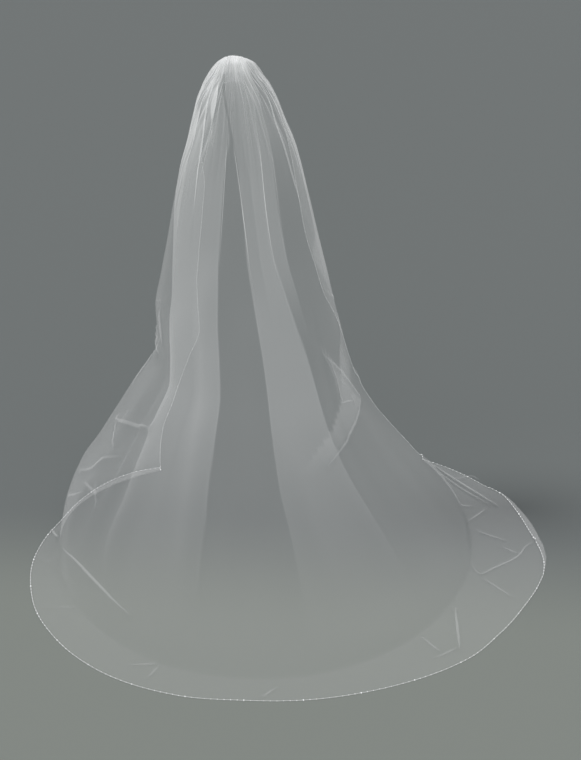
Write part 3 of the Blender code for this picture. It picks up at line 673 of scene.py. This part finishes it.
def add_tube(name, path, radius, sides):
    """Round tube along a path: centre + radius * (side cos t + up sin t), capped at both ends."""
    _, side, up = frames_along(path)
    turn = np.linspace(0, 2 * math.pi, sides, endpoint=False)
    rings = (path[:, None] + radius * (side[:, None] * np.cos(turn)[None, :, None]
                                       + up[:, None] * np.sin(turn)[None, :, None]))
    index = np.arange(len(path) * sides).reshape(len(path), sides)
    after = np.roll(index, -1, axis=1)
    quads = np.stack((index[:-1], after[:-1], after[1:], index[1:]), axis=-1).reshape(-1, 4)
    faces = quads.tolist() + [index[0][::-1].tolist(), index[-1].tolist()]
    mesh = bpy.data.meshes.new(name)
    mesh.from_pydata(rings.reshape(-1, 3), [], faces)
    mesh.shade_smooth()
    made = bpy.data.objects.new(name, mesh)
    bpy.context.scene.collection.objects.link(made)
    return made


def round_profile(rings):
    """(radius, height) down half a circle, from pole to pole."""
    angle = np.linspace(0, math.pi, rings + 2)
    return np.stack((np.sin(angle), np.cos(angle)), axis=-1)


def add_turned(name, places, frames, profile, sides, sizes):
    """The same turned shape at each place: a profile of (radius, height) spun about its frame's run."""
    run, side, up = frames
    turn = np.linspace(0, 2 * math.pi, sides, endpoint=False)
    inner = profile[1:-1]
    ring = np.stack((inner[:, :1] * np.cos(turn), inner[:, :1] * np.sin(turn),
                     np.repeat(inner[:, 1:], sides, axis=1)), axis=-1).reshape(-1, 3)
    shape = np.concatenate((ring, [(0, 0, profile[0, 1]), (0, 0, profile[-1, 1])]))
    local = shape[None] * np.asarray(sizes)[:, None, None]
    axes = np.stack((side, up, run), axis=1)
    points = places[:, None] + np.einsum("nkj,nji->nki", local, axes)
    count, steps = len(shape), len(inner)
    index = np.arange(steps * sides).reshape(steps, sides)
    after = np.roll(index, -1, axis=1)
    quads = np.stack((index[:-1], index[1:], after[1:], after[:-1]), axis=-1).reshape(-1, 4)
    top = np.stack((index[0], after[0], np.full(sides, count - 2)), axis=-1)
    foot = np.stack((after[-1], index[-1], np.full(sides, count - 1)), axis=-1)
    offsets = (np.arange(len(places)) * count)[:, None, None]
    faces = ((quads[None] + offsets).reshape(-1, 4).tolist() + (top[None] + offsets).reshape(-1, 3).tolist()
             + (foot[None] + offsets).reshape(-1, 3).tolist())
    mesh = bpy.data.meshes.new(name)
    mesh.from_pydata(points.reshape(-1, 3), [], faces)
    made = bpy.data.objects.new(name, mesh)
    bpy.context.scene.collection.objects.link(made)
    return made


def glass(name, colour, roughness):
    made = bpy.data.materials.new(name)
    made.use_nodes = True
    shader = made.node_tree.nodes["Principled BSDF"]
    shader.inputs["Base Color"].default_value = colour
    shader.inputs["Roughness"].default_value = roughness
    shader.inputs["IOR"].default_value = 1.55
    shader.inputs["Coat Weight"].default_value = 0.6
    shader.inputs["Coat Roughness"].default_value = 0.08
    return made


edge = edge_path()
edge_frames = frames_along(edge)
is_crystal = np.arange(len(edge)) % CRYSTAL_EVERY == 0

cord = add_tube("edge_cord", edge, CORD_RADIUS, CORD_SIDES)
cord.data.materials.append(glass("cord_thread", (0.86, 0.87, 0.87, 1.0), 0.6))

finer = FRONT_FINER + (1 - FRONT_FINER) * ease(1 - (edge[:, 2] + COMB_HEIGHT) / 0.10)
uneven = finer * (1 + 0.10 * np.sin(np.arange(len(edge)) * 2.3))
beads = add_turned("edge_beads", edge[~is_crystal], [f[~is_crystal] for f in edge_frames],
                   round_profile(4), 8, BEAD_RADIUS * uneven[~is_crystal])
beads.data.shade_smooth()
beads.data.materials.append(glass("bead_glass", (0.84, 0.86, 0.87, 1.0), 0.12))

CRYSTAL_PROFILE = np.array(((0, 0.95), (0.55, 0.62), (1.0, 0.12), (1.0, -0.12), (0.55, -0.62), (0, -0.95)))
large = np.where(np.arange(is_crystal.sum()) % LARGE_EVERY == 0, LARGE, 1.0)
crystals = add_turned("edge_crystals", edge[is_crystal], [f[is_crystal] for f in edge_frames],
                      CRYSTAL_PROFILE, 8, CRYSTAL_RADIUS * uneven[is_crystal] * large)
crystals.data.materials.append(glass("cut_crystal", (0.95, 0.96, 0.97, 1.0), 0.03))

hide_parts("bead_edging")
for piece in (cord, beads, crystals):
    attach(piece, "root")


# Comb
# A clear plastic side comb, moulded in one piece: an arched spine and twenty slender teeth.
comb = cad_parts["comb"]
COMB_CLEAR = (0.80, 0.82, 0.83, 1.0)


def comb_material():
    """Clear moulded plastic, glossy, that lets some light through."""
    made = bpy.data.materials.new("comb_plastic")
    made.use_nodes = True
    shader = made.node_tree.nodes["Principled BSDF"]
    shader.inputs["Base Color"].default_value = COMB_CLEAR
    shader.inputs["Roughness"].default_value = 0.12
    shader.inputs["IOR"].default_value = 1.49
    shader.inputs["Transmission Weight"].default_value = 0.55
    return made


comb.data.materials.clear()
comb.data.materials.append(comb_material())


# Floor, light and camera
# A roll of grey studio paper under large soft lamps, with painted shade on it: darker towards the back and the
# right where the lamps' light falls off, and a painted soft shadow to the right.
FLOOR_REACH = 30.0
# painted shade: the paper's colour near the camera and a darker one far off, standing in for the lamps' light
# falling off
FLOOR_LIT_NEAR = (0.202, 0.219, 0.203, 1.0)
FLOOR_SHADED_FAR = (0.142, 0.155, 0.155, 1.0)
PAINTED_SHADOW_CENTRE = (1.10, -0.22, -1.705)    # a painted soft shadow on the paper to the right
PAINTED_SHADOW_REACH = (0.80, 0.50, 1.0)


def floor_material():
    """Matt paper with painted shade: its colour darkens smoothly from near to far along Y, tilted along X, for the
    lamps' light falling off, under a painted soft shadow to the right.
    """
    made = bpy.data.materials.new("floor_paper")
    made.use_nodes = True
    nodes = made.node_tree.nodes
    shader = nodes["Principled BSDF"]
    shader.inputs["Roughness"].default_value = 0.9
    shader.inputs["Specular IOR Level"].default_value = 0.1
    place = nodes.new("ShaderNodeTexCoord")
    split = nodes.new("ShaderNodeSeparateXYZ")
    fade = nodes.new("ShaderNodeMapRange")
    fade.interpolation_type = "SMOOTHSTEP"
    fade.inputs["From Min"].default_value = -1.05
    fade.inputs["From Max"].default_value = -0.25
    falloff_shade = nodes.new("ShaderNodeMix")
    falloff_shade.data_type = "RGBA"
    falloff_shade.inputs[6].default_value = FLOOR_LIT_NEAR
    falloff_shade.inputs[7].default_value = FLOOR_SHADED_FAR
    # painted shade: the darker far colour reaches nearer on the right, standing in for shade there
    slanted = maths(nodes, "MULTIPLY_ADD", split.outputs["X"], 0.11, split.outputs["Y"])
    nodes.id_data.links.new(slanted, fade.inputs["Value"])
    # painted shadow: a soft round patch to the right where the paper's colour is multiplied darker
    shadow_mapping = nodes.new("ShaderNodeMapping")
    shadow_mapping.vector_type = "TEXTURE"
    shadow_mapping.inputs["Location"].default_value = PAINTED_SHADOW_CENTRE
    shadow_mapping.inputs["Scale"].default_value = PAINTED_SHADOW_REACH
    round_shade = nodes.new("ShaderNodeTexGradient")
    round_shade.gradient_type = "QUADRATIC_SPHERE"
    # painted shadow: multiplies the paper's colour by a darker grey inside the round patch
    painted_shadow = nodes.new("ShaderNodeMix")
    painted_shadow.data_type = "RGBA"
    painted_shadow.blend_type = "MULTIPLY"
    painted_shadow.inputs[7].default_value = (0.62, 0.62, 0.63, 1.0)
    link(nodes, (place, "Object", split, "Vector"), (fade, "Result", falloff_shade, 0),
         (place, "Object", shadow_mapping, "Vector"), (shadow_mapping, "Vector", round_shade, "Vector"),
         (round_shade, "Fac", painted_shadow, 0), (falloff_shade, 2, painted_shadow, 6), (painted_shadow, 2, shader, "Base Color"))
    return made


floor_mesh = bpy.data.meshes.new("floor")
floor_mesh.from_pydata([(-FLOOR_REACH, -FLOOR_REACH, -COMB_HEIGHT), (FLOOR_REACH, -FLOOR_REACH, -COMB_HEIGHT),
                        (FLOOR_REACH, FLOOR_REACH, -COMB_HEIGHT), (-FLOOR_REACH, FLOOR_REACH, -COMB_HEIGHT)],
                       [], [(0, 1, 2, 3)])
floor = bpy.data.objects.new("floor", floor_mesh)
bpy.context.scene.collection.objects.link(floor)
floor.data.materials.append(floor_material())


def add_lamp(name, from_direction, softness, strength):
    """A far soft lamp: light from one direction, spread over softness degrees."""
    data = bpy.data.lights.new(name, "SUN")
    data.angle = math.radians(softness)
    data.energy = strength
    made = bpy.data.objects.new(name, data)
    x, y, z = from_direction
    made.rotation_euler = (math.atan2(math.hypot(x, y), z), 0, math.atan2(y, x) + math.pi / 2)
    bpy.context.scene.collection.objects.link(made)
    return made


add_lamp("lamp_left", (-0.55, -0.70, 0.60), 50, 1.5)
add_lamp("lamp_right", (0.60, -0.65, 0.50), 60, 0.9)
add_lamp("lamp_top", (0.05, 0.15, 1.0), 70, 0.9)

world = bpy.data.worlds.new("studio")
bpy.context.scene.world = world
world.use_nodes = True
world.node_tree.nodes["Background"].inputs["Color"].default_value = (1.0, 1.0, 1.0, 1.0)
world.node_tree.nodes["Background"].inputs["Strength"].default_value = 0.42

CAMERA_PLACE = (0.211, -5.0, 0.895)
CAMERA_TILT = 23.1              # degrees down from level
CAMERA_LENS = 63.5
camera_data = bpy.data.cameras.new("camera")
camera_data.lens = CAMERA_LENS
camera_data.clip_end = 100
camera = bpy.data.objects.new("camera", camera_data)
camera.location = CAMERA_PLACE
camera.rotation_euler = (math.radians(90 - CAMERA_TILT), 0, 0)
bpy.context.scene.collection.objects.link(camera)
bpy.context.scene.camera = camera
bpy.context.scene.view_settings.view_transform = "Standard"
bpy.context.scene.cycles.transparent_max_bounces = 64
